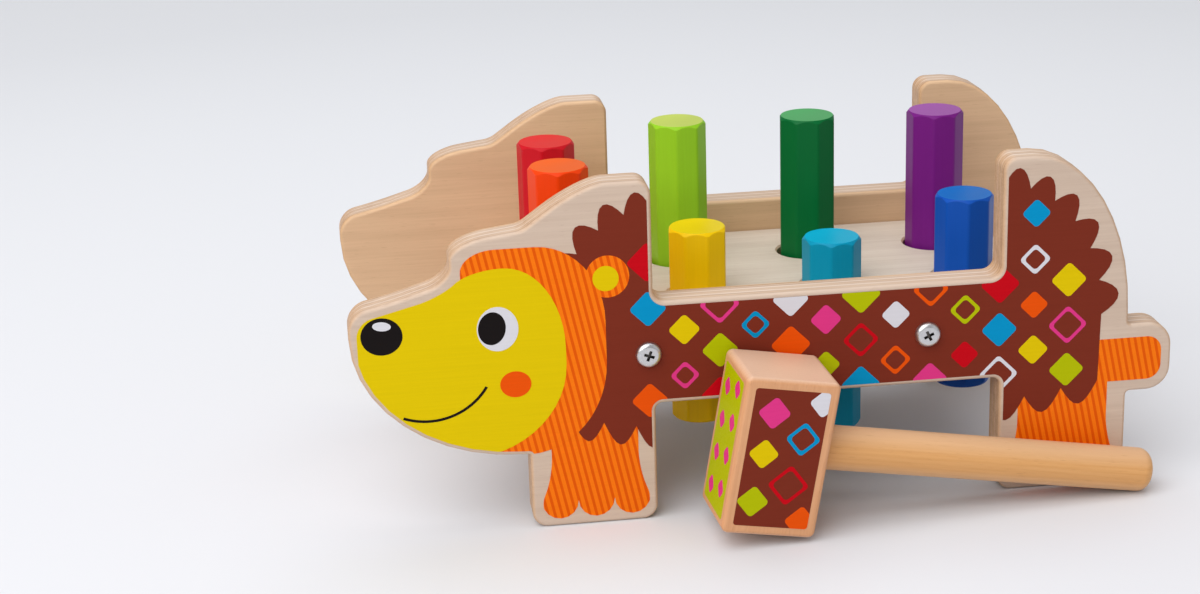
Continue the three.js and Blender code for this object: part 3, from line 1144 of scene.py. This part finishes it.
def leg_drawing(name, left, right):
    """A leg that widens to three round toes, as one line."""
    toe_width = (right - left) / toe_count
    ankles = left + ankle_inset, right - ankle_inset
    corners = [(ankles[0], leg_top), (ankles[0], ankle_height, ankle_round), (left, toe_height, heel_round)]
    for toe in range(toe_count):
        x = left + (toe + 0.5) * toe_width
        for step in range(1, toe_steps):
            angle = math.pi * (1 + step / toe_steps)
            corners.append((x + toe_width / 2 * math.cos(angle), toe_height + toe_radius * math.sin(angle)))
        if toe < toe_count - 1:
            corners.append((x + toe_width / 2, toe_height))
    corners += [(right, toe_height, heel_round), (ankles[1], ankle_height, ankle_round), (ankles[1], leg_top)]
    return drawing_of(name, small_steps, corners)


for name, sides in legs.items():
    print_both(printed(leg_drawing(name, *sides), 1), "orange")
shape_print("tail_print", "orange", 1.5, [
    (tail_root, tail_low),
    (tail_tip, tail_low, tail_round),
    (tail_tip, tail_high, tail_round),
    (tail_root, tail_high),
])
print("legs printed")

# %% Coat
coat_reach = Vector((34, 46))
coat_middle = 60
lobe_steps = 8
arc_lobes, arc_depth = 6, 6
hem_lobes, hem_depth = 3, 7
fore_flank_reach, hind_flank_reach = 27.5, 33.5
flank_height, hem_height = 37, 31
hem_past_slot = 4


def lobes(count, depth, place_at, way_at):
    """Points along a line that swells out into round lobes."""
    points = []
    for step in range(count * lobe_steps + 1):
        share = step / (count * lobe_steps)
        swell = depth * abs(math.sin(math.pi * step / lobe_steps))
        points.append(place_at(share) + way_at(share) * swell)
    return points


def coat_arc(x, side):
    """A quarter oval from the top of a panel's crest out to its flank."""
    def way_at(share):
        angle = math.pi / 2 * share
        return Vector((side * math.sin(angle), math.cos(angle)))
    middle = Vector((x, coat_middle))
    return lobes(arc_lobes, arc_depth, lambda share: middle + way_at(share) * coat_reach, way_at)


def coat_hem(first, last):
    """The hem that hangs over a leg."""
    return lobes(hem_lobes, hem_depth, lambda share: first.lerp(last, share), lambda share: Vector((0, -1)))


fore_flank = Vector((slot_front - fore_flank_reach, flank_height))
hind_flank = Vector((slot_rear + hind_flank_reach, flank_height))
fore_inner = Vector((slot_front + hem_past_slot, hem_height))
hind_inner = Vector((slot_rear - hem_past_slot, hem_height))
coat_line = coat_arc(slot_front, -1) + coat_hem(fore_flank, fore_inner)
coat_line += coat_hem(hind_inner, hind_flank) + coat_arc(slot_rear, 1)[::-1]
shape_print("coat_print", "brown", 2, [(point.x, point.y) for point in coat_line])
print("coat corners:", len(coat_line))

# %% Head
mane_right = 81.5
shape_print("mane_print", "orange", 3, [
    (36, 95.8, 7, 11),
    (mane_right, 95.8, 22, 26),
    (mane_right, 26, 30, 26),
    (36, 26),
])
shape_print("face_print", "yellow", 4, [
    (2.6, 74.4, 5),
    (30, 81.4, 8, 6),
    (38.5, 89.5, 6, 10),
    (68.5, 89.5, 19, 28),
    (68.5, 28.2, 28, 30),
    (2.6, 24),
])
oval_print("ear_print", "orange", 4, 82.5, 84.5, 7, 7)
oval_print("ear_inner_print", "yellow", 5, 81.9, 83.9, 4.2, 4.2)
oval_print("nose_print", "black", 5, 10.4, 69.6, 6.6, 6.2)
oval_print("nose_glint_print", "white", 6, 10.6, 73, 2.9, 1.5, -6)
oval_print("eye_print", "white", 5, 47, 69.5, 6.6, 7.4)
oval_print("pupil_print", "black", 6, 45.2, 69.8, 4.4, 5.5, -8)
oval_print("cheek_print", "tangerine", 5, 52, 50.5, 5, 4.4)
print("head printed")

# %% Smile
smile_middle = Vector((24, 62))
smile_radius = 22
smile_width = 0.9
smile_from, smile_to = math.radians(-112), math.radians(-32)
smile_steps = 20


def arc_points(radius, first, last):
    angles = [first + (last - first) * step / smile_steps for step in range(smile_steps + 1)]
    return [(smile_middle.x + radius * math.cos(a), smile_middle.y + radius * math.sin(a)) for a in angles]


outer = arc_points(smile_radius + smile_width / 2, smile_from, smile_to)
inner = arc_points(smile_radius - smile_width / 2, smile_to, smile_from)
shape_print("smile_print", "black", 5, outer + inner)
print("smile printed")

# %% [markdown]
# ### Diamonds
# The coat is covered with diamonds on a staggered grid, some of them hollow. Their colours, sizes and
# kinds come round in turn, so that no two neighbours match. A diamond at the slot or the arch is cut off
# by the edge of the wood, and one that would cross the lobes or the mane is left out.

# %% Diamonds
diamond_pitch = Vector((11.6, 15.6))
diamond_start = Vector((72, 41.5))
diamond_columns, diamond_rows = 16, 5
diamond_sizes = (6.8, 5.4, 6.2, 5.0)
diamond_colours = ("lime", "white", "pink", "blue", "yellow", "red", "tangerine")
diamond_room = 0.8
mane_gap = 1
diamond_round = 1.3
hollow_rim = 1.6
screw_heads = [(middle_of(node) - front_low) / mm for node in screw_nodes[:2]]


def diamond_drawing(name, places):
    """Diamonds (x, y, reach) with softened corners. One inside another is a hole."""
    lines = []
    for x, y, reach in places:
        corners = (x - reach, y), (x, y - reach), (x + reach, y), (x, y + reach)
        lines.append([(*corner, diamond_round) for corner in corners])
    return drawing_of(name, small_steps, *lines)


def on_coat(x, z, reach):
    """Whether a diamond lies on the coat, clear of its edge, of the mane and of the screws."""
    room = reach + diamond_room
    if any(math.hypot(x - screw.x, z - screw.z) < room + screw_head_radius for screw in screw_heads):
        return False
    if slot_front < x < slot_rear:
        return arch_top < z < slot_floor
    side = slot_front if x < slot_front else slot_rear
    share = Vector(((x - side) / (coat_reach.x - room), (z - coat_middle) / (coat_reach.y - room)))
    beside_mane = x > slot_rear or x - room > mane_right + mane_gap
    in_arc = abs(share.x) < 1 and (z < coat_middle or share.length < 1)
    return beside_mane and z - room > hem_height and in_arc


diamonds = {name: [] for name in diamond_colours}
for column in range(diamond_columns):
    for row in range(diamond_rows):
        x = diamond_start.x + column * diamond_pitch.x
        z = diamond_start.y + (row + (column % 2) / 2) * diamond_pitch.y
        reach = diamond_sizes[(column + 2 * row) % len(diamond_sizes)]
        if not on_coat(x, z, reach):
            continue
        own_colour = diamond_colours[(3 * column + 2 * row) % len(diamond_colours)]
        diamonds[own_colour].append((x, z, reach))
        if (column + row) % 3 == 0:
            diamonds[own_colour].append((x, z, reach - hollow_rim))
for own_colour, places in diamonds.items():
    print_both(printed(diamond_drawing(own_colour + "_diamonds", places), 3), own_colour)
print("diamonds:", {name: len(places) for name, places in diamonds.items()})

# %% [markdown]
# ## Prints on the mallet
# The block carries a brown label with diamonds on its near side and a lime one on its end. They are drawn
# flat on the block's own faces and laid down with it.

# %% Mallet labels
label_border = 3.2
label_corner = 1.0
end_reach = 3.5
# The printed faces: the width of the label, the middle of the face and its turn
near_face = head_size.x - 2 * label_border, Vector((0, -head_size.y / 2, 0)) * mm, 0
end_face = head_size.y - 2 * label_border, Vector((-head_size.x / 2, 0, 0)) * mm, -math.pi / 2
label_height = head_size.z - 2 * label_border


def label_drawing(name, width):
    x, z = width / 2, label_height / 2
    corners = (-x, -z), (x, -z), (x, z), (-x, z)
    return drawing_of(name, small_steps, [(*corner, label_corner) for corner in corners])


def stick(plate, ink_name, place, quarter_turn):
    """Put a print on one of the block's faces, then lay it down with the block."""
    lay_down(settle(plate, place, (0, 0, quarter_turn)))
    finish_piece(plate, inks[ink_name], "mallet", ink_slots[ink_name])


def mallet_label(name, ink_name, width, *face):
    stick(cut_out(label_drawing(name, width), ink_thickness(1)), ink_name, *face)


def mallet_diamonds(name, ink_name, places, width, *face):
    """Diamonds on a label, cut off at its edge."""
    plate = cut_out(diamond_drawing(name, places), ink_thickness(2))
    combine(plate, cut_out(label_drawing("trim", width), trim_depth * mm), "INTERSECT")
    stick(plate, ink_name, *face)


mallet_label("mallet_near_label", "brown", *near_face)
mallet_label("mallet_end_label", "lime", *end_face)
near_diamonds = {
    "pink": [(-5.0, 15.2, 5.6)],
    "blue": [(5.8, 7.2, 5.9), (5.8, 7.2, 4.3)],
    "yellow": [(-6.2, 1.4, 5.2)],
    "red": [(3.6, -8.6, 7.0), (3.6, -8.6, 5.4)],
    "lime": [(-7.2, -14.8, 5.5)],
    "white": [(10.6, 19.6, 5.0)],
    "tangerine": [(9.6, -20.6, 5.5)],
}
for ink_name, places in near_diamonds.items():
    mallet_diamonds("mallet_" + ink_name + "_diamonds", ink_name, places, *near_face)
end_columns, end_rows = {-5.6: 0, 5.6: 2.8}, (-17.4, -6.2, 5.0, 16.2)
end_diamonds = [(x, z + rise, end_reach) for x, rise in end_columns.items() for z in end_rows]
mallet_diamonds("mallet_end_diamonds", "pink", end_diamonds, *end_face)
print("mallet prints:", len(near_diamonds) + 3)
